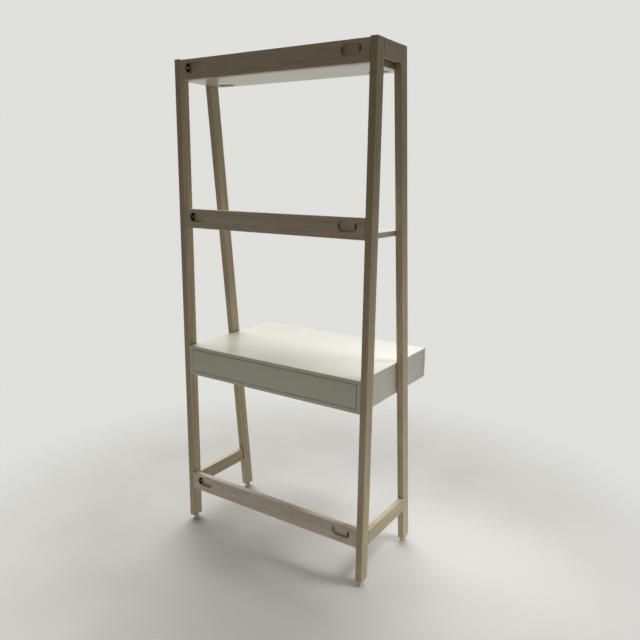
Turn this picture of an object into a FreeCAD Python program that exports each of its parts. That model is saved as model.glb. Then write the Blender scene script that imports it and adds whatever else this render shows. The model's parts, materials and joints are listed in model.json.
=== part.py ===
import FreeCAD, Part
import math
import os

# Ladder-frame wall desk: two side frames, three back rails, two shelves and a desk box with one drawer.
# Sizes are in millimetres. X runs across the desk, the front faces -Y and Z is up.
# The origin is on the floor, under the middle of the desk's outer box.
# Pieces that come in pairs are drawn on the right, at +X, and mirrored to the left.

# Overall sizes
width = 832.0
height = 1829.0
depth = 521.0

# Side frames: upright back legs, front legs that lean back, and a side rail at top and bottom
leg_thickness = 25.0
leg_depth = 44.0
leg_edge_radius = 1.8
foot_height = 20.0
front_leg_top_reach = 196.0
front_leg_base_reach = 385.0
side_rail_thickness = 20.0
side_rail_height = 54.0
bottom_side_rail_z = 149.0
rail_edge = 0.8

# Back rails, flush with the backs of the legs
back_rail_thickness = 22.0
back_rail_height = 70.0
top_rail_drop = 3.0
middle_rail_z = 1229.0
bottom_rail_z = 149.0

# Bolt pockets with round ends, routed in the rails' backs and the shelves' undersides
pocket_length = 73.0
pocket_width = 35.5
pocket_depth = 13.5
pocket_end_wall = 29.0
pocket_rise = 6.0

# Shelves, whose undersides line up with the back rails and whose fronts stand out past the legs
shelf_thickness = 18.0
shelf_overhang = 12.0
shelf_bolt_inset = 18.0
shelf_dowel_count = 5
shelf_dowel_end = 60.0

# Cleats between the top shelf's ends and the top side rails
cleat_rise = 20.0
cleat_end_gap = 1.0

# Desk box
desk_top_z = 765.0
case_height = 117.0
panel_thickness = 14.0
panel_edge = 0.8
shadow_gap_width = 2.0
shadow_gap_depth = 3.0
case_dowel_end = 60.0
case_dowel_edge = 24.0
desk_bolt_edge = 7.0
desk_bolt_inset = 12.0

# Drawer
drawer_front_thickness = 18.0
drawer_gap = 2.0
drawer_board = 12.0
drawer_box_lift = 9.0
drawer_headroom = 11.0
drawer_bottom_thickness = 6.0
drawer_bottom_rise = 10.0
groove_depth = 6.0
groove_clearance = 0.2
notch_width = 110.0
notch_depth = 22.0
notch_radius = 10.0
front_screw_end = 100.0
front_screw_edge = 8.0
drawer_dowel_edge = 8.0
bumper_radius = 4.0
bumper_clearance = 0.3

# Ball-bearing drawer runners, three channels nested in each other
runner_height = 35.0
runner_width = 12.7
runner_sheet = 1.2
runner_bend = 1.0
runner_setback = 3.0
runner_rear_gap = 34.0
runner_travel_loss = 10.0
runner_clearance = 0.5
runner_screw_end = 40.0
outer_lip_gap = 2.2
race_gap = 3.0
ball_clearance = 0.2
balls_per_row = 4
cage_sheet = 0.8
cage_width = 4.0
cage_end_gap = 10.0
cage_ball_margin = 12.0

# Bolts, half-moon washers and threaded inserts
bolt_radius = 3.0
bolt_head_radius = 5.25
bolt_head_height = 3.3
bolt_head_crown = 3.4
bolt_socket = 4.0
bolt_socket_depth = 2.0
bolt_tip_gap = 3.0
washer_thickness = 8.0
washer_recess = 1.0
washer_floor_gap = 0.5
insert_radius = 5.0
insert_length = 16.0

# Dowels and screws
dowel_radius = 4.0
rail_dowel_offset = 22.0
rail_dowel_in_rail = 18.0
rail_dowel_in_leg = 12.0
side_dowel_offset = 15.0
side_dowel_half = 15.0
panel_dowel_shallow = 10.0
panel_dowel_deep = 18.0
drawer_dowel_radius = 3.0
drawer_dowel_shallow = 8.0
screw_radius = 1.75
screw_head_radius = 3.0
screw_head_height = 1.6
case_screw_length = 12.0
drawer_screw_length = 9.0
front_screw_length = 24.0

# Fixing holes for wall brackets, in the backs of the back legs
wall_hole_radius = 2.5
wall_hole_depth = 15.0
wall_hole_drop = 101.0
wall_hole_low_z = 324.0

# Levelling feet
foot_radius = 11.0
foot_pad_height = 11.0
foot_pad_crown = 8.5
foot_pad_rim = 1.0
foot_collar = 10.0
foot_stem_radius = 3.0
foot_stem_root = 2.0
foot_stem_reach = 20.0
foot_insert_radius = 4.5
foot_insert_length = 16.0
foot_spare_thread = 14.0
foot_clearance = 0.3

# Fits
bolt_clearance = 0.4
thread_clearance = 0.08
hole_clearance = 0.05
dowel_clearance = 0.1
dowel_end_gap = 0.5
washer_clearance = 0.2

# Directions
X_AXIS = FreeCAD.Vector(1, 0, 0)
Y_AXIS = FreeCAD.Vector(0, 1, 0)
Z_AXIS = FreeCAD.Vector(0, 0, 1)
ORIGIN = FreeCAD.Vector(0, 0, 0)

# Places on the frame that follow from the sizes above
back_y = depth / 2
front_y = -depth / 2
outer_x = width / 2
inner_x = outer_x - leg_thickness
leg_middle_x = outer_x - leg_thickness / 2
leg_slope = (front_leg_base_reach - front_leg_top_reach) / (height - foot_height)
leg_section = leg_depth * math.sqrt(1 + leg_slope ** 2)
top_side_rail_z = height - side_rail_height
top_rail_z = height - top_rail_drop - back_rail_height
rail_levels = [top_rail_z, middle_rail_z, bottom_rail_z]
shelf_levels = [top_rail_z, middle_rail_z]
rail_front_y = back_y - back_rail_thickness

# Places in a bolt pocket
bolt_axis_depth = pocket_depth / 2
bolt_rise = back_rail_height / 2 + pocket_rise
pocket_end_x = inner_x - pocket_end_wall
pocket_middle_x = pocket_end_x - pocket_length / 2
pocket_arc_x = pocket_end_x - pocket_width / 2
washer_radius = pocket_width / 2 - washer_clearance
washer_chord = washer_radius - washer_thickness
washer_seat_x = pocket_arc_x + washer_chord

# Places in the desk box and its drawer
case_bottom_z = desk_top_z - case_height
case_floor_z = case_bottom_z + panel_thickness
case_roof_z = desk_top_z - panel_thickness
case_inner_x = inner_x - panel_thickness
case_rear_y = back_y - panel_thickness
drawer_y = front_y + drawer_front_thickness
case_front_y = drawer_y + drawer_gap
runner_front_y = case_front_y + runner_setback
runner_rear_y = case_rear_y - runner_rear_gap
runner_length = runner_rear_y - runner_front_y
runner_travel = runner_length - runner_travel_loss
drawer_outer_x = case_inner_x - runner_width
drawer_inner_x = drawer_outer_x - drawer_board
drawer_back_y = drawer_y + drawer_board
drawer_base_z = case_floor_z + drawer_box_lift
drawer_rim_z = case_roof_z - drawer_headroom
drawer_bottom_z = drawer_base_z + drawer_bottom_rise
drawer_floor_z = drawer_bottom_z + drawer_bottom_thickness
runner_z = (drawer_base_z + drawer_rim_z) / 2

# Places of the runners' channels, from the side panel inwards
outer_half = runner_height / 2
middle_half = outer_half - runner_sheet - race_gap
inner_half = middle_half - runner_sheet - race_gap
middle_web_x = case_inner_x - runner_sheet - screw_head_height - runner_clearance
outer_lip_x = drawer_outer_x + outer_lip_gap
middle_lip_x = drawer_outer_x + runner_sheet + runner_clearance
inner_lip_x = middle_web_x - runner_sheet - runner_clearance


def point(x, y, z):
    """A place in the desk's frame."""
    return FreeCAD.Vector(x, y, z)


def leg_front_y(z):
    """Front face of the leaning front leg at a height."""
    return back_y - front_leg_top_reach - leg_slope * (height - z)


def leg_back_y(z):
    """Back face of the leaning front leg at a height."""
    return leg_front_y(z) + leg_section


def leg_middle_y(z):
    """Middle line of the leaning front leg at a height."""
    return leg_front_y(z) + leg_section / 2


# Basic shapes
def block(x_range, y_range, z_range):
    """Rectangular block between the ends of three ranges."""
    low = point(x_range[0], y_range[0], z_range[0])
    size = point(x_range[1], y_range[1], z_range[1]) - low
    return Part.makeBox(size.x, size.y, size.z, low)


def rod(radius, start, axis, length):
    """Round bar from a start point along an axis."""
    return Part.makeCylinder(radius, length, start, axis)


def prism(points, sweep):
    """Polygon swept along a vector."""
    return Part.Face(Part.makePolygon(points + points[:1])).extrude(sweep)


def swept(curves, sweep):
    """Closed outline of lines and arcs, swept along a vector."""
    wire = Part.Wire([curve.toShape() for curve in curves])
    return Part.Face(wire).extrude(sweep)


def turned(profile):
    """Solid of revolution about Z from radius and height pairs."""
    wire = Part.makePolygon([point(radius, 0, z) for radius, z in profile + profile[:1]])
    return Part.Face(wire).revolve(ORIGIN, Z_AXIS, 360)


def hexagon(across_flats, low_z, high_z):
    """Upright hexagonal bar about the Z axis."""
    corner = across_flats / math.sqrt(3)
    angles = [math.radians(60 * turn) for turn in range(6)]
    points = [point(corner * math.cos(a), corner * math.sin(a), low_z) for a in angles]
    return prism(points, Z_AXIS * (high_z - low_z))


def edges_along(shape, direction):
    """Straight edges of a shape that run along one direction."""
    found = []
    for edge in shape.Edges:
        run = edge.Vertexes[-1].Point - edge.Vertexes[0].Point
        if run.Length > 0 and run.cross(direction).Length < 1e-6 * run.Length:
            found.append(edge)
    return found


def mirrored(shape):
    """The left-hand twin of a right-hand shape."""
    return shape.mirror(ORIGIN, X_AXIS)


def both_sides(shapes):
    """Right-hand shapes together with their left-hand twins."""
    return shapes + [mirrored(shape) for shape in shapes]


def named_pair(name, shape):
    """A right-hand piece and its left-hand twin by name."""
    return {"right_" + name: shape, "left_" + name: mirrored(shape)}


# Fasteners
def stadium(centre, across, sweep):
    """Bolt pocket along X with round ends, centred on a point of the surface and swept into it."""
    tip = X_AXIS * (pocket_length / 2)
    run = X_AXIS * (pocket_length / 2 - pocket_width / 2)
    side = across * (pocket_width / 2)
    right_arc = Part.Arc(centre + run - side, centre + tip, centre + run + side)
    left_arc = Part.Arc(centre - run + side, centre - tip, centre - run - side)
    top = Part.LineSegment(centre + run + side, centre - run + side)
    base = Part.LineSegment(centre - run - side, centre + run - side)
    return swept([right_arc, top, left_arc, base], sweep)


def half_moon(place, across, into):
    """Half-moon washer that fills the end of a pocket, round the bolt at a place."""
    half_chord = math.sqrt(washer_radius ** 2 - washer_chord ** 2)
    surface = point(pocket_arc_x, place.y, place.z) - into * bolt_axis_depth
    centre = surface + into * washer_recess
    low = centre + X_AXIS * washer_chord - across * half_chord
    high = centre + X_AXIS * washer_chord + across * half_chord
    outline = [Part.Arc(low, centre + X_AXIS * washer_radius, high), Part.LineSegment(high, low)]
    body = swept(outline, into * (pocket_depth - washer_recess - washer_floor_gap))
    return body.cut(bolt_hole(washer_seat_x, place, washer_thickness))


def bolt(seat_x, place, grip):
    """Button-head socket bolt along X, with its head seated at seat_x."""
    tip = grip + insert_length - bolt_tip_gap
    rim = bolt_head_height / 2
    profile = [(0, -bolt_head_height), (bolt_head_crown, -bolt_head_height), (bolt_head_radius, -rim)]
    profile += [(bolt_head_radius, 0), (bolt_radius, 0), (bolt_radius, tip), (0, tip)]
    socket = hexagon(bolt_socket, -bolt_head_height, bolt_socket_depth - bolt_head_height)
    body = turned(profile).cut(socket)
    body.rotate(ORIGIN, Y_AXIS, 90)
    body.translate(point(seat_x, place.y, place.z))
    return body


def bolt_hole(start_x, place, length):
    """Clear hole for a bolt along X."""
    return rod(bolt_radius + bolt_clearance, point(start_x, place.y, place.z), X_AXIS, length)


def insert(place):
    """Threaded insert in a leg's inner face."""
    bore = rod(bolt_radius + thread_clearance, place, X_AXIS, insert_length)
    return rod(insert_radius, place, X_AXIS, insert_length).cut(bore)


def insert_hole(place):
    """Hole for a threaded insert in a leg's inner face."""
    return rod(insert_radius + hole_clearance, place, X_AXIS, insert_length)


def screw(seat, axis, length):
    """Pan-head screw with its head on a seat, driven along an axis."""
    head = rod(screw_head_radius, seat, axis * -1, screw_head_height)
    return head.fuse(rod(screw_radius, seat, axis, length)).removeSplitter()


def screw_hole(seat, axis, length):
    """Hole that a screw passes through or bites into."""
    return rod(screw_radius + hole_clearance, seat, axis, length)


def dowels(joints, axis, before, after, radius=dowel_radius):
    """Dowels across a list of joints, with their lengths before and after the joint's plane."""
    return [rod(radius, joint - axis * before, axis, before + after) for joint in joints]


def dowel_holes(joints, axis, before, after, radius=dowel_radius):
    """Holes for such dowels, with room round them and at both ends."""
    reach = before + dowel_end_gap
    length = before + after + 2 * dowel_end_gap
    return [rod(radius + dowel_clearance, joint - axis * reach, axis, length) for joint in joints]


# Joints of the frame, on the right-hand leg's inner face
def rail_bolt_places():
    """Where the back rails are bolted to the back leg."""
    return [point(inner_x, back_y - bolt_axis_depth, level + bolt_rise) for level in rail_levels]


def shelf_bolt_places():
    """Where the shelves are bolted to the front leg."""
    heights = [level + bolt_axis_depth for level in shelf_levels]
    return [point(inner_x, leg_back_y(z) - shelf_bolt_inset, z) for z in heights]


def desk_bolt_heights():
    """Heights of the bolts through the desk box's sides, clear of the runners."""
    return [case_floor_z + desk_bolt_edge, case_roof_z - desk_bolt_edge]


def back_desk_bolts():
    """Where the desk box is bolted to the back leg."""
    return [point(inner_x, case_rear_y - desk_bolt_inset, z) for z in desk_bolt_heights()]


def front_desk_bolts():
    """Where the desk box is bolted to the front leg."""
    return [point(inner_x, leg_middle_y(z), z) for z in desk_bolt_heights()]


def side_rail_joints():
    """Where the dowels at the side rails' ends cross the faces of the back leg and the front leg."""
    x = outer_x - side_rail_thickness / 2
    joints = []
    for level in (bottom_side_rail_z, top_side_rail_z):
        for shift in (-side_dowel_offset, side_dowel_offset):
            z = level + side_rail_height / 2 + shift
            joints += [point(x, back_y - leg_depth, z), point(x, leg_back_y(z), z)]
    return joints


def back_rail_joints():
    """Where the dowels at the back rails' ends cross the back leg's inner face."""
    y = back_y - back_rail_thickness / 2
    middles = [level + back_rail_height / 2 for level in rail_levels]
    shifts = (-rail_dowel_offset, rail_dowel_offset)
    return [point(inner_x, y, middle + shift) for middle in middles for shift in shifts]


def shelf_joints(level):
    """Where the dowels between a shelf and its rail cross the rail's front face."""
    reach = inner_x - shelf_dowel_end
    step = 2 * reach / (shelf_dowel_count - 1)
    z = level + shelf_thickness / 2
    return [point(step * i - reach, rail_front_y, z) for i in range(shelf_dowel_count)]


side_dowel_lengths = (side_dowel_half, side_dowel_half)
rail_dowel_lengths = (rail_dowel_in_rail, rail_dowel_in_leg)
shelf_dowel_lengths = (panel_dowel_deep, panel_dowel_shallow)


# Side frames
def foot_holes(y):
    """Hole in a leg's end for the foot's insert, and the room above it for the stem."""
    start = point(leg_middle_x, y, foot_height)
    wide = rod(foot_insert_radius + hole_clearance, start, Z_AXIS, foot_insert_length)
    room = foot_insert_length + foot_spare_thread
    narrow = rod(foot_stem_radius + bolt_clearance, start, Z_AXIS, room)
    return [wide, narrow]


def back_leg():
    """Upright back leg with its wall-fixing holes."""
    bar = block((inner_x, outer_x), (back_y - leg_depth, back_y), (foot_height, height))
    bar = bar.makeFillet(leg_edge_radius, edges_along(bar, Z_AXIS))
    holes = [insert_hole(place) for place in rail_bolt_places() + back_desk_bolts()]
    for z in (wall_hole_low_z, height - wall_hole_drop):
        start = point(leg_middle_x, back_y, z)
        holes.append(rod(wall_hole_radius, start, Y_AXIS * -1, wall_hole_depth))
    holes += dowel_holes(back_rail_joints(), X_AXIS, *rail_dowel_lengths)
    holes += dowel_holes(side_rail_joints(), Y_AXIS, *side_dowel_lengths)
    return bar.cut(holes + foot_holes(back_y - leg_depth / 2))


def front_leg():
    """Front leg that leans back, cut level at both ends."""
    outline = [point(inner_x, leg_front_y(z), z) for z in (height, foot_height)]
    outline += [point(inner_x, leg_back_y(z), z) for z in (foot_height, height)]
    bar = prism(outline, X_AXIS * leg_thickness)
    bar = bar.makeFillet(leg_edge_radius, edges_along(bar, point(0, leg_slope, 1)))
    holes = [insert_hole(place) for place in shelf_bolt_places() + front_desk_bolts()]
    holes += dowel_holes(side_rail_joints(), Y_AXIS, *side_dowel_lengths)
    return bar.cut(holes + foot_holes(leg_middle_y(foot_height)))


def side_rail(level):
    """Side rail between the legs, cut to the front leg's slope at one end."""
    x = outer_x - side_rail_thickness
    top = level + side_rail_height
    rear_y = back_y - leg_depth
    outline = [point(x, leg_back_y(level), level), point(x, rear_y, level)]
    outline += [point(x, rear_y, top), point(x, leg_back_y(top), top)]
    bar = prism(outline, X_AXIS * side_rail_thickness)
    bar = bar.makeChamfer(rail_edge, edges_along(bar, Y_AXIS))
    return bar.cut(dowel_holes(side_rail_joints(), Y_AXIS, *side_dowel_lengths))


def side_frames():
    """Legs, side rails and the dowels between them."""
    pieces = named_pair("back_leg", back_leg())
    pieces.update(named_pair("front_leg", front_leg()))
    pieces.update(named_pair("top_side_rail", side_rail(top_side_rail_z)))
    pieces.update(named_pair("bottom_side_rail", side_rail(bottom_side_rail_z)))
    pegs = dowels(side_rail_joints(), Y_AXIS, *side_dowel_lengths)
    pieces["side_rail_dowels"] = Part.makeCompound(both_sides(pegs))
    return pieces


# Back rails and shelves
def back_rail(level):
    """Back rail with a bolt pocket at each end."""
    bar = block((-inner_x, inner_x), (rail_front_y, back_y), (level, level + back_rail_height))
    bar = bar.makeChamfer(rail_edge, edges_along(bar, X_AXIS))
    surface = point(pocket_middle_x, back_y, level + bolt_rise)
    cuts = [stadium(surface, Z_AXIS, Y_AXIS * -pocket_depth)]
    cuts += [bolt_hole(pocket_arc_x, place, inner_x - pocket_arc_x) for place in rail_bolt_places()]
    cuts += dowel_holes(back_rail_joints(), X_AXIS, *rail_dowel_lengths)
    cuts = both_sides(cuts)
    if level in shelf_levels:
        cuts += dowel_holes(shelf_joints(level), Y_AXIS, *shelf_dowel_lengths)
    return bar.cut(cuts)


def shelf(level):
    """Shelf between the side frames, with a bolt pocket under each front corner."""
    top = level + shelf_thickness
    board = block((-inner_x, inner_x), (leg_front_y(top) - shelf_overhang, rail_front_y), (level, top))
    board = board.makeChamfer(panel_edge, board.Edges)
    bolt_y = leg_back_y(level + bolt_axis_depth) - shelf_bolt_inset
    cuts = [stadium(point(pocket_middle_x, bolt_y, level), Y_AXIS, Z_AXIS * pocket_depth)]
    cuts += [bolt_hole(pocket_arc_x, place, inner_x - pocket_arc_x) for place in shelf_bolt_places()]
    cuts = both_sides(cuts)
    cuts += dowel_holes(shelf_joints(level), Y_AXIS, *shelf_dowel_lengths)
    return board.cut(cuts)


def top_cleat():
    """Cleat that covers the top shelf's end and fills its gap to the top side rail."""
    low = shelf_levels[0]
    top = low + shelf_thickness + cleat_rise
    y_range = (leg_back_y(top) + cleat_end_gap, back_y - leg_depth - cleat_end_gap)
    bar = block((inner_x, outer_x - side_rail_thickness), y_range, (low, top))
    return bar.makeChamfer(rail_edge, edges_along(bar, Y_AXIS))


def pocket_fasteners(name, places, across, into):
    """Bolts, half-moon washers and inserts of one kind of bolt pocket."""
    grip = pocket_end_wall + washer_clearance + washer_thickness
    bolts = [bolt(washer_seat_x, place, grip) for place in places]
    washers = [half_moon(place, across, into) for place in places]
    inserts = [insert(place) for place in places]
    kinds = {"bolts": bolts, "washers": washers, "inserts": inserts}
    return {name + "_" + kind: Part.makeCompound(both_sides(solids)) for kind, solids in kinds.items()}


def rails_and_shelves():
    """Back rails, shelves and what joins them to the side frames and to each other."""
    pieces = {}
    for name, level in zip(("top", "middle", "bottom"), rail_levels):
        pieces[name + "_back_rail"] = back_rail(level)
    for name, level in zip(("top", "middle"), shelf_levels):
        pieces[name + "_shelf"] = shelf(level)
    pieces.update(named_pair("top_cleat", top_cleat()))
    pieces.update(pocket_fasteners("rail", rail_bolt_places(), Z_AXIS, Y_AXIS * -1))
    pieces.update(pocket_fasteners("shelf", shelf_bolt_places(), Y_AXIS, Z_AXIS))
    rail_pegs = dowels(back_rail_joints(), X_AXIS, *rail_dowel_lengths)
    pieces["back_rail_dowels"] = Part.makeCompound(both_sides(rail_pegs))
    joints = [joint for level in shelf_levels for joint in shelf_joints(level)]
    pieces["shelf_dowels"] = Part.makeCompound(dowels(joints, Y_AXIS, *shelf_dowel_lengths))
    return pieces


# Desk box
def case_edge_joints(z):
    """Where the dowels between a side panel and a level panel cross the plane at z."""
    x = inner_x - panel_thickness / 2
    return [point(x, y, z) for y in (case_front_y + case_dowel_end, back_y - case_dowel_end)]


def case_back_joints():
    """Where the dowels between the back panel and a side panel cross the side's inner face."""
    y = back_y - (panel_thickness + shadow_gap_depth) / 2
    heights = (case_floor_z + case_dowel_edge, case_roof_z - case_dowel_edge)
    return [point(case_inner_x, y, z) for z in heights]


floor_joint = (case_edge_joints(case_floor_z), Z_AXIS, panel_dowel_shallow, panel_dowel_deep)
roof_joint = (case_edge_joints(case_roof_z), Z_AXIS, panel_dowel_deep, panel_dowel_shallow)
rear_joint = (case_back_joints(), X_AXIS, panel_dowel_deep, panel_dowel_shallow)


def runner_screw_seats(x):
    """Seats of the screws along a runner whose sheet has its inside at x."""
    first = runner_front_y + runner_screw_end
    last = runner_rear_y - runner_screw_end
    return [point(x, y, runner_z) for y in (first, (first + last) / 2, last)]


case_screw_seats = runner_screw_seats(case_inner_x - runner_sheet)
drawer_screw_seats = runner_screw_seats(drawer_outer_x + runner_sheet)


def panel(x_range, y_range, z_range, cuts):
    """Lacquered panel with eased edges."""
    board = block(x_range, y_range, z_range)
    return board.makeChamfer(panel_edge, board.Edges).cut(cuts)


def desk_side():
    """Side panel of the desk box, between its top and bottom."""
    cuts = dowel_holes(*floor_joint) + dowel_holes(*roof_joint) + dowel_holes(*rear_joint)
    places = back_desk_bolts() + front_desk_bolts()
    cuts += [bolt_hole(case_inner_x, place, panel_thickness) for place in places]
    cuts += [screw_hole(seat, X_AXIS, case_screw_length) for seat in case_screw_seats]
    return panel((case_inner_x, inner_x), (case_front_y, back_y), (case_floor_z, case_roof_z), cuts)


def desk_back():
    """Back panel of the desk box, with a shadow gap round its outer face."""
    core_x = case_inner_x
    face_x = core_x - shadow_gap_width
    face_z_range = (case_floor_z + shadow_gap_width, case_roof_z - shadow_gap_width)
    face_base_y = back_y - shadow_gap_depth
    core = block((-core_x, core_x), (case_rear_y, face_base_y), (case_floor_z, case_roof_z))
    face = block((-face_x, face_x), (face_base_y, back_y), face_z_range)
    return core.fuse(face).removeSplitter().cut(both_sides(dowel_holes(*rear_joint)))


def desk_box():
    """Panels of the desk box and what joins them to each other and to the legs."""
    x_range = (-inner_x, inner_x)
    y_range = (front_y, back_y)
    floor_holes = both_sides(dowel_holes(*floor_joint))
    roof_holes = both_sides(dowel_holes(*roof_joint))
    pieces = named_pair("desk_side", desk_side())
    pieces["desk_top"] = panel(x_range, y_range, (case_roof_z, desk_top_z), roof_holes)
    pieces["desk_bottom"] = panel(x_range, y_range, (case_bottom_z, case_floor_z), floor_holes)
    pieces["desk_back"] = desk_back()
    pegs = dowels(*floor_joint) + dowels(*roof_joint) + dowels(*rear_joint)
    pieces["desk_dowels"] = Part.makeCompound(both_sides(pegs))
    places = back_desk_bolts() + front_desk_bolts()
    bolts = [bolt(case_inner_x, place, panel_thickness) for place in places]
    inserts = [insert(place) for place in places]
    pieces["desk_bolts"] = Part.makeCompound(both_sides(bolts))
    pieces["desk_inserts"] = Part.makeCompound(both_sides(inserts))
    return pieces


# Drawer runners
def channel(web_x, lip_x, half_height):
    """Sheet channel along a runner, with its back at web_x and its lips at lip_x."""
    low = runner_z - half_height
    high = runner_z + half_height
    inside_x = web_x + math.copysign(runner_sheet, lip_x - web_x)
    section = [(web_x, low), (lip_x, low), (lip_x, low + runner_sheet), (inside_x, low + runner_sheet)]
    section += [(inside_x, high - runner_sheet), (lip_x, high - runner_sheet), (lip_x, high), (web_x, high)]
    body = prism([point(x, runner_front_y, z) for x, z in section], Y_AXIS * runner_length)
    long_edges = edges_along(body, Y_AXIS)
    bends = [edge for edge in long_edges if abs(edge.Vertexes[0].Point.x - web_x) < 1e-6]
    return body.makeFillet(runner_bend, bends)


def ball_cage(x, half_height):
    """Upper and lower rows of balls in a runner's races, each row in its own cage strip."""
    front = runner_front_y + runner_travel / 4 + cage_end_gap
    length = runner_length - runner_travel / 2 - 2 * cage_end_gap
    step = (length - 2 * cage_ball_margin) / (balls_per_row - 1)
    radius = race_gap / 2 - ball_clearance
    solids = []
    for z in (runner_z - half_height, runner_z + half_height):
        places = [point(x, front + cage_ball_margin + step * i, z) for i in range(balls_per_row)]
        x_range = (x - cage_width / 2, x + cage_width / 2)
        z_range = (z - cage_sheet / 2, z + cage_sheet / 2)
        strip = block(x_range, (front, front + length), z_range)
        reach = Z_AXIS * cage_sheet
        holes = [rod(radius + ball_clearance / 2, place - reach, Z_AXIS, 2 * cage_sheet) for place in places]
        solids.append(strip.cut(holes))
        solids += [Part.makeSphere(radius, place) for place in places]
    return Part.makeCompound(both_sides(solids))


def runners():
    """Runners of the drawer, with their ball cages and screws."""
    outer = channel(case_inner_x, outer_lip_x, outer_half)
    outer = outer.cut([screw_hole(seat, X_AXIS, runner_sheet) for seat in case_screw_seats])
    middle = channel(middle_web_x, middle_lip_x, middle_half)
    inner = channel(drawer_outer_x, inner_lip_x, inner_half)
    inner = inner.cut([screw_hole(seat, X_AXIS * -1, runner_sheet) for seat in drawer_screw_seats])
    pieces = named_pair("cabinet_runner", outer)
    pieces.update(named_pair("middle_runner", middle))
    pieces.update(named_pair("drawer_runner", inner))
    outer_race = (outer_half - runner_sheet + middle_half) / 2
    inner_race = (middle_half - runner_sheet + inner_half) / 2
    pieces["outer_ball_cages"] = ball_cage((middle_web_x + outer_lip_x) / 2, outer_race)
    pieces["inner_ball_cages"] = ball_cage((middle_lip_x + inner_lip_x) / 2, inner_race)
    case_screws = [screw(seat, X_AXIS, case_screw_length) for seat in case_screw_seats]
    drawer_screws = [screw(seat, X_AXIS * -1, drawer_screw_length) for seat in drawer_screw_seats]
    pieces["cabinet_runner_screws"] = Part.makeCompound(both_sides(case_screws))
    pieces["drawer_runner_screws"] = Part.makeCompound(both_sides(drawer_screws))
    return pieces


# Drawer
def finger_notch():
    """Cut for the finger notch in the top edge of the drawer's front, through both of its boards."""
    base = case_roof_z - drawer_gap - notch_depth
    x_range = (-notch_width / 2, notch_width / 2)
    cut = block(x_range, (front_y - drawer_gap, drawer_back_y + drawer_gap), (base, case_roof_z))
    corners = [edge for edge in edges_along(cut, Y_AXIS) if abs(edge.Vertexes[0].Point.z - base) < 1e-6]
    return cut.makeFillet(notch_radius, corners)


def front_screw_seats():
    """Seats of the screws that hold the drawer's front to its box."""
    x = drawer_inner_x - front_screw_end
    heights = (drawer_floor_z + front_screw_edge, drawer_rim_z - front_screw_edge)
    return [point(side * x, drawer_back_y, z) for side in (-1, 1) for z in heights]


def corner_joints():
    """Where the dowels at the corners of the drawer's box cross the side's inner face."""
    ys = (drawer_y + drawer_board / 2, runner_rear_y - drawer_board / 2)
    heights = (drawer_floor_z + drawer_dowel_edge, drawer_rim_z - drawer_dowel_edge)
    return [point(drawer_inner_x, y, z) for y in ys for z in heights]


corner_joint = (corner_joints(), X_AXIS, panel_dowel_deep, drawer_dowel_shallow, drawer_dowel_radius)


def bottom_groove():
    """Room for the drawer's bottom in the boards round it."""
    x = drawer_inner_x + groove_depth
    z_range = (drawer_bottom_z, drawer_floor_z + groove_clearance)
    return block((-x, x), (drawer_back_y - groove_depth, runner_rear_y), z_range)


def drawer_front():
    """Lacquered front that covers the ends of the side panels."""
    z_range = (case_floor_z + drawer_gap, case_roof_z - drawer_gap)
    holes = [screw_hole(seat, Y_AXIS * -1, front_screw_length) for seat in front_screw_seats()]
    return panel((-inner_x, inner_x), (front_y, drawer_y), z_range, [finger_notch()] + holes)


def drawer_subfront():
    """Front board of the drawer's box, behind the lacquered front."""
    x_range = (-drawer_inner_x, drawer_inner_x)
    board = block(x_range, (drawer_y, drawer_back_y), (drawer_base_z, drawer_rim_z))
    cuts = [screw_hole(seat, Y_AXIS * -1, front_screw_length) for seat in front_screw_seats()]
    cuts += both_sides(dowel_holes(*corner_joint))
    return board.cut(cuts + [finger_notch(), bottom_groove()])


def drawer_side():
    """Side board of the drawer's box, grooved for the bottom."""
    x_range = (drawer_inner_x, drawer_outer_x)
    board = block(x_range, (drawer_y, runner_rear_y), (drawer_base_z, drawer_rim_z))
    cuts = [screw_hole(seat, X_AXIS * -1, drawer_screw_length) for seat in drawer_screw_seats]
    return board.cut(cuts + dowel_holes(*corner_joint) + [bottom_groove()])


def drawer_back():
    """Back board of the drawer's box, which stands on the bottom."""
    x_range = (-drawer_inner_x, drawer_inner_x)
    y_range = (runner_rear_y - drawer_board, runner_rear_y)
    board = block(x_range, y_range, (drawer_floor_z, drawer_rim_z))
    return board.cut(both_sides(dowel_holes(*corner_joint)))


def drawer_bottom():
    """Bottom board of the drawer, slid into the grooves from the rear."""
    x = drawer_inner_x + groove_depth - groove_clearance
    front = drawer_back_y - groove_depth + groove_clearance
    return block((-x, x), (front, runner_rear_y), (drawer_bottom_z, drawer_floor_z))


def drawer_bumper():
    """Soft stop behind the drawer's front, facing the end of a side panel."""
    start = point(inner_x - panel_thickness / 2, drawer_y, (case_floor_z + case_roof_z) / 2)
    return rod(bumper_radius, start, Y_AXIS, drawer_gap - bumper_clearance)


def drawer():
    """The drawer's boards and fasteners."""
    pieces = named_pair("drawer_side", drawer_side())
    pieces["drawer_front"] = drawer_front()
    pieces["drawer_subfront"] = drawer_subfront()
    pieces["drawer_back"] = drawer_back()
    pieces["drawer_bottom"] = drawer_bottom()
    screws = [screw(seat, Y_AXIS * -1, front_screw_length) for seat in front_screw_seats()]
    pieces["drawer_front_screws"] = Part.makeCompound(screws)
    pieces["drawer_dowels"] = Part.makeCompound(both_sides(dowels(*corner_joint)))
    pieces["drawer_bumpers"] = Part.makeCompound(both_sides([drawer_bumper()]))
    return pieces


# Levelling feet
def foot_pad():
    """Round pad of a levelling foot, with a socket for the stem."""
    profile = [(0, 0), (foot_radius - foot_pad_rim, 0), (foot_radius, foot_pad_rim)]
    profile += [(foot_radius, foot_pad_height / 2), (foot_pad_crown, foot_pad_height), (0, foot_pad_height)]
    socket = rod(foot_stem_radius, point(0, 0, foot_stem_root), Z_AXIS, foot_pad_height)
    return turned(profile).cut(socket)


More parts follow.
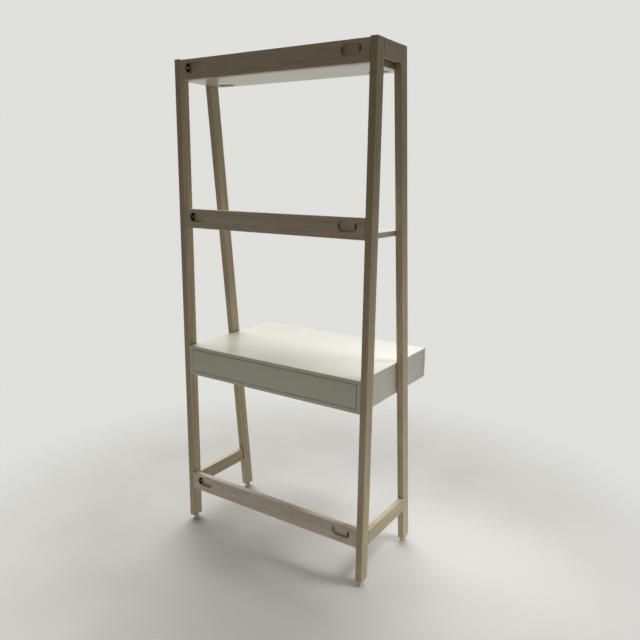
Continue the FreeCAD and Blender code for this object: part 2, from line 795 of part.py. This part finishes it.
def foot_stem():
    """Threaded stem of a levelling foot, with the hexagon that turns it."""
    collar = hexagon(foot_collar, foot_pad_height, foot_height - foot_clearance)
    length = foot_height + foot_stem_reach - foot_stem_root
    stem = rod(foot_stem_radius, point(0, 0, foot_stem_root), Z_AXIS, length)
    return collar.fuse(stem).removeSplitter()


def foot_insert():
    """Threaded insert in a leg's lower end."""
    start = point(0, 0, foot_height)
    bore = rod(foot_stem_radius + thread_clearance, start, Z_AXIS, foot_insert_length)
    return rod(foot_insert_radius, start, Z_AXIS, foot_insert_length).cut(bore)


def feet():
    """Levelling feet under all four legs."""
    places = {"back": back_y - leg_depth / 2, "front": leg_middle_y(foot_height)}
    pieces = {}
    inserts = []
    for name, y in places.items():
        move = point(leg_middle_x, y, 0)
        pieces.update(named_pair(name + "_foot_pad", foot_pad().translated(move)))
        pieces.update(named_pair(name + "_foot_stem", foot_stem().translated(move)))
        inserts.append(foot_insert().translated(move))
    pieces["foot_inserts"] = Part.makeCompound(both_sides(inserts))
    return pieces


os.makedirs("parts", exist_ok=True)
for section in (side_frames, rails_and_shelves, desk_box, runners, drawer, feet):
    for node, shape in section().items():
        shape.exportStep("parts/" + node + ".step")
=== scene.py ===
import json
import math
import bmesh
import bpy
from mathutils import Matrix, Vector


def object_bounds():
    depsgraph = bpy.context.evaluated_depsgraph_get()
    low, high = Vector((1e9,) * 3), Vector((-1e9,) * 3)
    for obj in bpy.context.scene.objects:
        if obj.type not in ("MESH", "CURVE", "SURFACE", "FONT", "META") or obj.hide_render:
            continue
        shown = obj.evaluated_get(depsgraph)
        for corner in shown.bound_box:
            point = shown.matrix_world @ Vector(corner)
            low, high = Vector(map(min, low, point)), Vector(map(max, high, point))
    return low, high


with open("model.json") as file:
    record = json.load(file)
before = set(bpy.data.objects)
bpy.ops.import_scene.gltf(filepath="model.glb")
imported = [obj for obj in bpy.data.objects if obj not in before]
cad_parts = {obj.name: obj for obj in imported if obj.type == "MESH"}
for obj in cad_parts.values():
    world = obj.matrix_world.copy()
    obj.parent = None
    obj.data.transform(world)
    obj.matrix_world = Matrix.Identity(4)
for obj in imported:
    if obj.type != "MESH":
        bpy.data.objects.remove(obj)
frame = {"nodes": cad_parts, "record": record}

cad_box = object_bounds()
nodes = frame["nodes"]
slot_of = {part["node"]: part["material_slot"] for part in frame["record"]["subparts"]}

# Places and sizes are in metres, in the desk's own frame: the front faces -Y and Z is up.

# Camera, behind the desk and to its left
camera_place = (-1.3626, 1.9993, 1.4223)
camera_yaw = math.radians(33.131)
camera_pitch = math.radians(12.779)
camera_roll = math.radians(0.751)
focal_pixels = 630.45
image_pixels = 640
sensor_width = 36.0

# Lights: one high in front of the desk, one above its left side and one low behind it
ceiling_strength = 2.95
ceiling_softness = math.radians(60)
ceiling_place = (1.5, -1.8, 4.0)
side_lamp = {
    "place": (-1.5, -0.25, 2.3),
    "target": (-0.45, 0.1, -0.2),
    "size": (0.6, 0.9),
    "power": 1.6,
    "beam": 34,
}
low_lamp = {
    "place": (-0.8, 2.6, 0.3),
    "target": (0.0, 0.2, 0.0),
    "size": (1.2, 0.6),
    "power": 1.15,
    "beam": 80,
}
glow_strength = 0.068

# Floor, a pale disc that fades into the background
floor_radius = 9.0
floor_sides = 96
floor_fade = (0.7, 1.8)

# Directions
origin = (0.0, 0.0, 0.0)
backward = (0, 1, 0)
axes = {"X": (1, 0, 0), "Y": (0, 1, 0), "Z": (0, 0, 1)}

# Grain directions of the timber, as turns that take Z to the length of the piece
front_leg_lean = math.radians(5.96)
grain_up = (0.0, 0.0, 0.0)
grain_leaning = (-front_leg_lean, 0.0, 0.0)
grain_across = (0.0, math.radians(90), 0.0)
grain_deep = (math.radians(-90), 0.0, 0.0)

# Plane of the desk's back, and how far below it a surface counts as sunk
back_plane = cad_box[1][1]
sunk = 0.0015

# How far grime and painted shade reach out of the joints and inner corners, wear in from the edges and
# scuffs up from the floor
wide_grime_and_shade = 0.005
fine_grime_and_shade = 0.002
timber_wear = 0.002
lacquer_wear = 0.0014
plating_wear = 0.0006
oxide_wear = 0.0007
scuff_height = 0.004

# How many times longer than wide each kind of mark is
streak_stretch = 45.0
pore_stretch = 55.0
wash_stretch = 7.0
birch_stretch = 30.0
birch_fleck_stretch = 9.0
beech_stretch = 12.0
beech_fleck_stretch = 5.0
brushed_stretch = 25.0

# How strongly each mark shows, from 0 to 1
streak_share = 0.6
ring_share = 0.16
pore_share = 0.42
wash_share = 0.30
end_share = 0.55
timber_wear_share = 0.35
# Strength of grime and painted shade in joints and inner corners
grime_and_shade_share = 0.85
# Browner back and front faces of legs: partly flat-sawn figure, partly painted shade
leg_figure_and_shade_share = 0.12
# Paler pocket floors: partly bare cut wood, partly painted light that lifts their shade
rail_pocket_share = 0.6
speck_share = 0.35
lacquer_wear_share = 0.5
# Darkened gaps in the desk's back: painted shade
back_gap_shade_share = 0.9
birch_fleck_share = 0.25
glue_share = 0.6
beech_fleck_share = 0.4
plating_wear_share = 0.4
oxide_wear_share = 0.7
least_scuff = 0.1

# Spans of a noise's values that are stretched to the full range
middle_span = (0.35, 0.65)
wide_span = (0.3, 0.7)


def tone(red, green, blue):
    """A colour from its 0 to 255 screen values."""
    shares = [value / 255 for value in (red, green, blue)]
    linear = [s / 12.92 if s <= 0.04045 else ((s + 0.055) / 1.055) ** 2.4 for s in shares]
    return (*linear, 1.0)


# Colours
leg_pale = tone(220, 206, 176)
leg_dark = tone(186, 169, 135)
# Cleats darker than the legs: painted shade for the shade under the top side rails
cleat_shaded_pale = tone(166, 146, 112)
cleat_shaded_dark = tone(134, 115, 84)
rail_pale = tone(231, 219, 205)
rail_dark = tone(206, 192, 176)
pore_brown = tone(122, 102, 76)
wash_white = tone(234, 226, 210)
# Brown of grime and of painted shade in joints, inner corners and pocket walls
grime_and_shade_brown = tone(70, 56, 38)
# Brown of flat-sawn figure and of painted shade on the legs' back and front faces
figure_and_shade_brown = tone(138, 117, 84)
end_brown = tone(172, 152, 120)
# Paleness of bare cut wood and of painted light on the pocket floors
fresh_cut_and_light = tone(238, 227, 211)
lacquer_white = tone(236, 235, 225)
lacquer_shade = tone(233, 232, 221)
lacquer_worn = tone(222, 218, 206)
# Dark brown of painted shade in the gaps of the desk's back
gap_shade_brown = tone(112, 98, 78)
birch_pale = tone(227, 209, 178)
birch_dark = tone(208, 184, 147)
birch_glue = tone(128, 94, 62)
beech_pale = tone(206, 164, 122)
beech_dark = tone(176, 130, 90)
oxide_black = tone(26, 26, 28)
oxide_worn = tone(74, 72, 70)
bolt_bright = tone(142, 140, 136)
bolt_dull = tone(92, 90, 87)
zinc_bright = tone(202, 205, 208)
zinc_dull = tone(160, 164, 168)
bearing_bright = tone(222, 222, 224)
bearing_dull = tone(188, 188, 192)
yellow_zinc = tone(208, 178, 108)
yellow_dull = tone(166, 134, 78)
nylon_pale = tone(238, 236, 228)
nylon_scuffed = tone(186, 180, 164)
stem_dark = tone(52, 50, 48)
stem_worn = tone(110, 106, 100)
rubber_clear = tone(226, 226, 218)
rubber_cloudy = tone(204, 204, 194)
floor_pale = tone(202, 201, 198)
floor_cloudy = tone(198, 197, 194)
background_pale = tone(224, 224, 220)
ambient_warm = tone(255, 232, 172)


# Small helpers for building shader trees

def start_material(name):
    """A new material, its tree and its main shader."""
    material = bpy.data.materials.new(name)
    material.use_nodes = True
    tree = material.node_tree
    return material, tree, tree.nodes["Principled BSDF"]


def feed(tree, socket, value):
    """Sets a socket to a plain value, or links it to another socket."""
    if isinstance(value, bpy.types.NodeSocket):
        tree.links.new(value, socket)
    else:
        socket.default_value = value


def add_node(tree, kind, settings=None, **values):
    """A new node with its settings and its named inputs."""
    made = tree.nodes.new(kind)
    for name, value in (settings or {}).items():
        setattr(made, name, value)
    for name, value in values.items():
        feed(tree, made.inputs[name.replace("_", " ")], value)
    return made


def place_in(tree, turn=(0.0, 0.0, 0.0), stretch=(1.0, 1.0, 1.0)):
    """Points of the piece, turned back by turn and then squeezed by stretch."""
    points = add_node(tree, "ShaderNodeTexCoord").outputs["Object"]
    made = add_node(tree, "ShaderNodeMapping", {"vector_type": "TEXTURE"}, Vector=points)
    made.inputs["Rotation"].default_value = turn
    made.inputs["Scale"].default_value = stretch
    return made.outputs[0]


def along(tree, grain, stretch):
    """Points of the piece, squeezed along its grain."""
    return place_in(tree, grain, (1.0, 1.0, stretch))


def noise(tree, place, per_metre, detail=2.0, roughness=0.5):
    """Cloudy marks, of which about so many fit into a metre."""
    settings = {"Scale": per_metre, "Detail": detail, "Roughness": roughness}
    return add_node(tree, "ShaderNodeTexNoise", Vector=place, **settings).outputs[0]


def bands(tree, place, scale, direction, distortion=0.0):
    """Parallel lines across one direction."""
    settings = {"wave_type": "BANDS", "bands_direction": direction}
    made = add_node(tree, "ShaderNodeTexWave", settings, Vector=place, Scale=scale, Detail=2.0)
    made.inputs["Distortion"].default_value = distortion
    return made.outputs["Fac"]


def levels(tree, value, span, to=(0.0, 1.0)):
    """Stretches the values between the ends of one span to those between the ends of another."""
    made = add_node(tree, "ShaderNodeMapRange", {"interpolation_type": "SMOOTHSTEP"}, Value=value)
    for name, number in zip(("From Min", "From Max", "To Min", "To Max"), (*span, *to)):
        made.inputs[name].default_value = number
    return made.outputs[0]


def combine(tree, operation, first, second):
    """Two values put together by arithmetic."""
    made = add_node(tree, "ShaderNodeMath", {"operation": operation})
    feed(tree, made.inputs[0], first)
    feed(tree, made.inputs[1], second)
    return made.outputs[0]


def mix(tree, share, first, second):
    """A colour between two others."""
    made = add_node(tree, "ShaderNodeMix", {"data_type": "RGBA"})
    feed(tree, made.inputs[0], share)
    feed(tree, made.inputs[6], first)
    feed(tree, made.inputs[7], second)
    return made.outputs[2]


def tint(tree, colour, mask, share, over):
    """A colour with another over it where the mask shows, as strongly as the share."""
    return mix(tree, combine(tree, "MULTIPLY", mask, share), colour, over)


def dot(tree, first, second):
    """How nearly two directions agree, from -1 to 1."""
    made = add_node(tree, "ShaderNodeVectorMath", {"operation": "DOT_PRODUCT"})
    feed(tree, made.inputs[0], first)
    feed(tree, made.inputs[1], second)
    return made.outputs["Value"]


def facing(tree, direction):
    """How squarely a surface faces a direction, from -1 to 1."""
    return dot(tree, add_node(tree, "ShaderNodeNewGeometry").outputs["True Normal"], direction)


def lying_across(tree, direction):
    """How squarely a surface faces a direction or its opposite, from 0 to 1."""
    made = add_node(tree, "ShaderNodeMath", {"operation": "ABSOLUTE"})
    feed(tree, made.inputs[0], facing(tree, direction))
    return made.outputs[0]


def edges(tree, reach):
    """Rounded-over edges and corners, within reach of them."""
    rounded = add_node(tree, "ShaderNodeBevel", {"samples": 6}, Radius=reach).outputs[0]
    flat = add_node(tree, "ShaderNodeNewGeometry").outputs["Normal"]
    return levels(tree, dot(tree, rounded, flat), (0.99, 0.86))


def crease_grime_and_shade(tree, reach):
    """Joints and inner corners, within reach of them, as a mask for grime and painted shade."""
    made = add_node(tree, "ShaderNodeAmbientOcclusion", {"samples": 8}, Distance=reach)
    return levels(tree, made.outputs["AO"], (0.92, 0.55))


def below_back(tree):
    """Surfaces that lie below the plane of the desk's back."""
    place = add_node(tree, "ShaderNodeSeparateXYZ", Vector=place_in(tree)).outputs["Y"]
    return levels(tree, place, (back_plane - sunk / 2, back_plane - sunk))


def raise_bumps(tree, shader, height, depth, strength):
    """Small relief on the surface."""
    made = add_node(tree, "ShaderNodeBump", Height=height, Distance=depth, Strength=strength)
    feed(tree, shader.inputs["Normal"], made.outputs[0])


# Materials

def washed_wood(name, grain, pale, dark, grime_and_shade_reach, figure_and_shade_share=0.0, pocket_share=0.0):
    """White-washed, straight-grained timber under matt lacquer.

    Grime and painted shade come out of its joints and inner corners as far as grime_and_shade_reach. Faces
    that look back or forward are browner by figure_and_shade_share, partly flat-sawn figure and partly
    painted shade, and the floors of pockets that are cut into the back are paler by pocket_share, partly
    bare cut wood and partly painted light that lifts their shade.
    """
    material, tree, shader = start_material(name)
    drawn_out = along(tree, grain, streak_stretch)
    streaks = noise(tree, drawn_out, per_metre=95.0, detail=4.0, roughness=0.62)
    broad = noise(tree, drawn_out, per_metre=24.0)
    rings = bands(tree, drawn_out, scale=150.0, direction="DIAGONAL", distortion=5.0)
    pores = noise(tree, along(tree, grain, pore_stretch), per_metre=900.0, detail=1.0)
    pores = levels(tree, pores, (0.56, 0.70))
    wash = noise(tree, along(tree, grain, wash_stretch), per_metre=26.0, detail=4.0)
    wash = levels(tree, wash, (0.45, 0.75))

    fine_shade = levels(tree, streaks, (0.36, 0.66), (0.0, streak_share))
    broad_shade = levels(tree, broad, middle_span, (0.0, 1.0 - streak_share))
    colour = mix(tree, combine(tree, "ADD", fine_shade, broad_shade), dark, pale)
    colour = mix(tree, levels(tree, rings, (0.0, 1.0), (0.0, ring_share)), colour, dark)
    colour = tint(tree, colour, pores, pore_share, pore_brown)
    colour = tint(tree, colour, wash, wash_share, wash_white)

    axis = Matrix.Rotation(grain[0], 3, "X") @ Matrix.Rotation(grain[1], 3, "Y") @ Vector(axes["Z"])
    end_face = levels(tree, lying_across(tree, axis), (0.8, 0.95), (0.0, end_share))
    colour = mix(tree, end_face, colour, end_brown)
    colour = tint(tree, colour, edges(tree, timber_wear), timber_wear_share, wash_white)
    # Pocket floors painted paler: partly bare cut wood, partly painted light that lifts their shade
    if pocket_share:
        looking_back = levels(tree, facing(tree, backward), (0.5, 0.9))
        lit_pocket_floor = combine(tree, "MULTIPLY", below_back(tree), looking_back)
        colour = tint(tree, colour, lit_pocket_floor, pocket_share, fresh_cut_and_light)
    # Back and front faces browner: partly flat-sawn figure, partly painted shade
    if figure_and_shade_share:
        figure_and_shade_mask = levels(tree, lying_across(tree, backward), (0.7, 0.95), (0.0, figure_and_shade_share))
        colour = mix(tree, figure_and_shade_mask, colour, figure_and_shade_brown)
    # Grime and painted shade darken the joints, inner corners and pocket walls
    colour = tint(tree, colour, crease_grime_and_shade(tree, grime_and_shade_reach), grime_and_shade_share, grime_and_shade_brown)
    feed(tree, shader.inputs["Base Color"], colour)

    lacquer_roughness = levels(tree, streaks, wide_span, (0.40, 0.50))
    pore_roughness = combine(tree, "MULTIPLY", pores, 0.12)
    feed(tree, shader.inputs["Roughness"], combine(tree, "ADD", lacquer_roughness, pore_roughness))
    relief = combine(tree, "SUBTRACT", combine(tree, "MULTIPLY", rings, 0.35), pores)
    raise_bumps(tree, shader, relief, depth=0.00025, strength=0.35)
    return material


def white_lacquer(name, gap_shade_share=0.0):
    """Warm white semi-gloss lacquer, with wiped smears and rubbed edges.

    The walls and floors of gaps in the back are darkened to a dark brown by gap_shade_share, as painted
    shade in the gaps.
    """
    material, tree, shader = start_material(name)
    place = place_in(tree)
    clouds = noise(tree, place, per_metre=5.0, detail=3.0)
    wiped = place_in(tree, turn=(0, 0, 0.4), stretch=(6, 1, 1))
    smears = noise(tree, wiped, per_metre=22.0, detail=4.0, roughness=0.6)
    pebbles = noise(tree, place, per_metre=420.0)
    specks = levels(tree, noise(tree, place, per_metre=900.0, detail=1.0), (0.74, 0.80))

    colour = mix(tree, levels(tree, clouds, middle_span), lacquer_shade, lacquer_white)
    colour = tint(tree, colour, specks, speck_share, lacquer_worn)
    colour = tint(tree, colour, edges(tree, lacquer_wear), lacquer_wear_share, lacquer_worn)
    # Gaps in the back darkened as painted shade
    if gap_shade_share:
        not_forward = levels(tree, facing(tree, backward), (-0.5, -0.1))
        gap = combine(tree, "MULTIPLY", below_back(tree), not_forward)
        colour = tint(tree, colour, gap, gap_shade_share, gap_shade_brown)
    feed(tree, shader.inputs["Base Color"], colour)
    feed(tree, shader.inputs["Roughness"], levels(tree, smears, (0.35, 0.7), (0.28, 0.33)))
    shader.inputs["Coat Weight"].default_value = 0.12
    shader.inputs["Coat Roughness"].default_value = 0.18
    raise_bumps(tree, shader, pebbles, depth=0.00004, strength=0.08)
    return material


def birch_board(name, thickness_direction, grain):
    """Clear-lacquered birch ply, whose layers show on its edges."""
    material, tree, shader = start_material(name)
    figure = noise(tree, along(tree, grain, birch_stretch), per_metre=60.0, detail=4.0, roughness=0.6)
    flecks = noise(tree, along(tree, grain, birch_fleck_stretch), per_metre=700.0, detail=1.0)
    flecks = levels(tree, flecks, (0.60, 0.72))
    layers = bands(tree, place_in(tree), scale=140.0, direction=thickness_direction)
    glue_lines = levels(tree, layers, (0.55, 0.8))
    on_edge = levels(tree, lying_across(tree, axes[thickness_direction]), (0.7, 0.3))

    colour = mix(tree, levels(tree, figure, (0.35, 0.68)), birch_dark, birch_pale)
    colour = tint(tree, colour, flecks, birch_fleck_share, birch_dark)
    colour = tint(tree, colour, combine(tree, "MULTIPLY", glue_lines, on_edge), glue_share, birch_glue)
    feed(tree, shader.inputs["Base Color"], colour)
    feed(tree, shader.inputs["Roughness"], levels(tree, figure, wide_span, (0.36, 0.5)))
    raise_bumps(tree, shader, figure, depth=0.0002, strength=0.2)
    return material


def beech(name):
    """Plain turned beech with short flecks."""
    material, tree, shader = start_material(name)
    figure = noise(tree, along(tree, grain_across, beech_stretch), per_metre=300.0, detail=3.0)
    flecks = noise(tree, along(tree, grain_across, beech_fleck_stretch), per_metre=1500.0, detail=1.0)
    flecks = levels(tree, flecks, (0.58, 0.68))
    colour = mix(tree, levels(tree, figure, middle_span), beech_dark, beech_pale)
    colour = tint(tree, colour, flecks, beech_fleck_share, beech_dark)
    feed(tree, shader.inputs["Base Color"], colour)
    feed(tree, shader.inputs["Roughness"], levels(tree, figure, wide_span, (0.5, 0.65)))
    raise_bumps(tree, shader, flecks, depth=0.0001, strength=0.3)
    return material


def metal(name, bright, dull, roughness, stretch=(1, 1, 1)):
    """Plated or polished steel with faint working marks and rubbed edges."""
    material, tree, shader = start_material(name)
    marks = noise(tree, place_in(tree, stretch=stretch), per_metre=160.0, detail=4.0, roughness=0.6)
    clouds = noise(tree, place_in(tree), per_metre=35.0, detail=3.0)
    colour = mix(tree, levels(tree, clouds, (0.35, 0.68)), dull, bright)
    colour = tint(tree, colour, edges(tree, plating_wear), plating_wear_share, bright)
    feed(tree, shader.inputs["Base Color"], colour)
    feed(tree, shader.inputs["Roughness"], levels(tree, marks, wide_span, roughness))
    shader.inputs["Metallic"].default_value = 1.0
    raise_bumps(tree, shader, marks, depth=0.00004, strength=0.15)
    return material


def black_steel(name):
    """Black oxide, worn to grey along its edges."""
    material, tree, shader = start_material(name)
    clouds = noise(tree, place_in(tree), per_metre=240.0, detail=3.0)
    worn = combine(tree, "MULTIPLY", edges(tree, oxide_wear), levels(tree, clouds, (0.35, 0.6)))
    colour = tint(tree, oxide_black, worn, oxide_wear_share, oxide_worn)
    feed(tree, shader.inputs["Base Color"], colour)
    feed(tree, shader.inputs["Roughness"], levels(tree, clouds, wide_span, (0.34, 0.5)))
    shader.inputs["Metallic"].default_value = 0.6
    raise_bumps(tree, shader, clouds, depth=0.00005, strength=0.2)
    return material


def pale_plastic(name):
    """Moulded nylon, scuffed where it meets the floor."""
    material, tree, shader = start_material(name)
    place = place_in(tree)
    clouds = noise(tree, place, per_metre=200.0, detail=4.0, roughness=0.6)
    height = add_node(tree, "ShaderNodeSeparateXYZ", Vector=place).outputs["Z"]
    near_floor = levels(tree, height, (scuff_height, 0.0))
    scuffs = combine(tree, "MULTIPLY", near_floor, levels(tree, clouds, middle_span))
    colour = mix(tree, combine(tree, "MAXIMUM", scuffs, least_scuff), nylon_pale, nylon_scuffed)
    feed(tree, shader.inputs["Base Color"], colour)
    feed(tree, shader.inputs["Roughness"], levels(tree, clouds, wide_span, (0.38, 0.55)))
    raise_bumps(tree, shader, clouds, depth=0.00006, strength=0.2)
    return material


def clear_rubber(name):
    """Cloudy, clear rubber."""
    material, tree, shader = start_material(name)
    clouds = noise(tree, place_in(tree), per_metre=400.0, detail=3.0)
    feed(tree, shader.inputs["Base Color"], mix(tree, clouds, rubber_clear, rubber_cloudy))
    feed(tree, shader.inputs["Roughness"], levels(tree, clouds, wide_span, (0.22, 0.4)))
    shader.inputs["Transmission Weight"].default_value = 0.7
    shader.inputs["IOR"].default_value = 1.45
    raise_bumps(tree, shader, clouds, depth=0.00005, strength=0.15)
    return material


# Which material each piece gets

def make_timbers():
    """The frame's timber, by the kind of piece."""
    # grime_and_shade_reach sets how far grime and painted shade reach out of the joints
    side_rail = {"pale": leg_pale, "dark": leg_dark, "grime_and_shade_reach": wide_grime_and_shade}
    # Legs get browner back and front faces, partly figure and partly painted shade
    leg = {**side_rail, "figure_and_shade_share": leg_figure_and_shade_share}
    # Cleats take a darker timber as painted shade
    cleat = {"pale": cleat_shaded_pale, "dark": cleat_shaded_dark, "grime_and_shade_reach": wide_grime_and_shade}
    back_rail = {"pale": rail_pale, "dark": rail_dark, "grime_and_shade_reach": fine_grime_and_shade}
    # Back rails get paler pocket floors, partly bare wood and partly painted light
    back_rail["pocket_share"] = rail_pocket_share
    return {
        "back_leg": washed_wood("washed_wood_upright_leg", grain_up, **leg),
        "front_leg": washed_wood("washed_wood_leaning_leg", grain_leaning, **leg),
        "side_rail": washed_wood("washed_wood_side_rail", grain_deep, **side_rail),
        "cleat": washed_wood("washed_wood_shaded_cleat", grain_deep, **cleat),
        "back_rail": washed_wood("washed_wood_back_rail", grain_across, **back_rail),
    }


def make_boards():
    """The drawer's ply, by the direction of its thickness."""
    return {
        "X": birch_board("birch_board_x", "X", grain_deep),
        "Y": birch_board("birch_board_y", "Y", grain_across),
        "Z": birch_board("birch_board_z", "Z", grain_across),
    }


def make_plain():
    """The other materials, by the name of their slot."""
    brushed = (1, brushed_stretch, 1)
    return {
        "white_lacquer": white_lacquer("white_lacquer"),
        "black_steel": black_steel("black_steel"),
        "zinc_steel": metal("zinc_steel", zinc_bright, zinc_dull, roughness=(0.22, 0.38), stretch=brushed),
        "bearing_steel": metal("bearing_steel", bearing_bright, bearing_dull, roughness=(0.10, 0.22)),
        "insert_zinc": metal("insert_zinc", yellow_zinc, yellow_dull, roughness=(0.26, 0.42)),
        "dark_steel": metal("dark_steel", stem_worn, stem_dark, roughness=(0.30, 0.46)),
        "beech_dowel": beech("beech_dowel"),
        "pale_plastic": pale_plastic("pale_plastic"),
        "clear_rubber": clear_rubber("clear_rubber"),
    }


def timber_of(node, timbers):
    """The timber whose grain runs along the piece."""
    return next(timber for ending, timber in timbers.items() if node.endswith(ending))


def board_of(node, boards):
    """The ply whose layers lie in the plane of the board."""
    if node.endswith("drawer_side"):
        return boards["X"]
    if node == "drawer_bottom":
        return boards["Z"]
    return boards["Y"]


def paint(node, material):
    """Gives a piece its material."""
    for slot in nodes[node].material_slots:
        slot.material = material


def paint_all():
    """Gives each piece the material for its slot, and a few pieces one of their own."""
    timbers = make_timbers()
    boards = make_boards()
    plain = make_plain()
    for node, slot in slot_of.items():
        if slot == "washed_wood":
            paint(node, timber_of(node, timbers))
        elif slot == "birch_board":
            paint(node, board_of(node, boards))
        else:
            paint(node, plain[slot])
    # The desk's back gets painted shade in its gaps
    paint("desk_back", white_lacquer("gap_shaded_lacquer", back_gap_shade_share))
    rubbed_bolt = metal("rubbed_bolt", bolt_bright, bolt_dull, roughness=(0.26, 0.42))
    for node in ("rail_bolts", "shelf_bolts", "desk_bolts"):
        paint(node, rubbed_bolt)


# Stage: floor, background, lamps and camera

def floor_material():
    """Pale, faintly cloudy floor that fades out with distance."""
    material, tree, shader = start_material("floor")
    place = place_in(tree)
    clouds = noise(tree, place, per_metre=3.0, detail=4.0)
    feed(tree, shader.inputs["Base Color"], mix(tree, clouds, floor_pale, floor_cloudy))
    feed(tree, shader.inputs["Roughness"], levels(tree, clouds, wide_span, (0.6, 0.75)))
    distance = add_node(tree, "ShaderNodeVectorMath", {"operation": "LENGTH"})
    feed(tree, distance.inputs[0], place)
    clear = add_node(tree, "ShaderNodeBsdfTransparent")
    blend = add_node(tree, "ShaderNodeMixShader")
    feed(tree, blend.inputs[0], levels(tree, distance.outputs["Value"], floor_fade))
    feed(tree, blend.inputs[1], shader.outputs[0])
    feed(tree, blend.inputs[2], clear.outputs[0])
    feed(tree, tree.nodes["Material Output"].inputs["Surface"], blend.outputs[0])
    return material


def make_floor():
    """A flat round floor under the desk."""
    mesh = bpy.data.meshes.new("floor")
    form = bmesh.new()
    bmesh.ops.create_circle(form, cap_ends=True, radius=floor_radius, segments=floor_sides)
    form.to_mesh(mesh)
    form.free()
    mesh.materials.append(floor_material())
    floor = bpy.data.objects.new("floor", mesh)
    bpy.context.scene.collection.objects.link(floor)


def make_world():
    """A warm, even glow, which looks pale where it is seen or mirrored."""
    world = bpy.data.worlds.new("studio")
    world.use_nodes = True
    tree = world.node_tree
    seen_by = add_node(tree, "ShaderNodeLightPath").outputs
    seen = combine(tree, "MAXIMUM", seen_by["Is Camera Ray"], seen_by["Is Glossy Ray"])
    seen = combine(tree, "MAXIMUM", seen, seen_by["Is Transmission Ray"])
    glow = tree.nodes["Background"]
    glow.inputs["Color"].default_value = ambient_warm
    glow.inputs["Strength"].default_value = glow_strength
    backdrop = add_node(tree, "ShaderNodeBackground", Color=background_pale, Strength=1.0)
    blend = add_node(tree, "ShaderNodeMixShader")
    feed(tree, blend.inputs[0], seen)
    feed(tree, blend.inputs[1], glow.outputs[0])
    feed(tree, blend.inputs[2], backdrop.outputs[0])
    feed(tree, tree.nodes["World Output"].inputs["Surface"], blend.outputs[0])
    bpy.context.scene.world = world


def hang(name, data, place, target):
    """Puts a light at a place, turned to a target."""
    lamp = bpy.data.objects.new(name, data)
    lamp.location = place
    lamp.rotation_mode = "QUATERNION"
    lamp.rotation_quaternion = (Vector(target) - Vector(place)).to_track_quat("-Z", "Y")
    bpy.context.scene.collection.objects.link(lamp)


def make_ceiling_light():
    """Even, soft light from high above the desk's front and right."""
    data = bpy.data.lights.new("ceiling", "SUN")
    data.energy = ceiling_strength
    data.angle = ceiling_softness
    hang("ceiling", data, ceiling_place, origin)


def make_lamp(name, place, target, size, power, beam):
    """A soft, square-sided lamp whose beam is so many degrees wide."""
    data = bpy.data.lights.new(name, "AREA")
    data.shape = "RECTANGLE"
    data.size, data.size_y = size
    data.energy = power
    data.spread = math.radians(beam)
    hang(name, data, place, target)


def make_camera():
    """The camera that all views start from."""
    data = bpy.data.cameras.new("camera")
    data.sensor_width = sensor_width
    data.lens = sensor_width * focal_pixels / image_pixels
    camera = bpy.data.objects.new("camera", data)
    turn = Matrix.Rotation(camera_yaw - math.pi, 4, "Z")
    tilt = Matrix.Rotation(math.pi / 2 - camera_pitch, 4, "X")
    roll = Matrix.Rotation(camera_roll, 4, "Z")
    camera.matrix_world = Matrix.Translation(camera_place) @ turn @ tilt @ roll
    bpy.context.scene.collection.objects.link(camera)
    bpy.context.scene.camera = camera


paint_all()
make_floor()
make_world()
make_ceiling_light()
make_lamp("side", **side_lamp)
make_lamp("low", **low_lamp)
make_camera()
bpy.context.scene.view_settings.view_transform = "Standard"
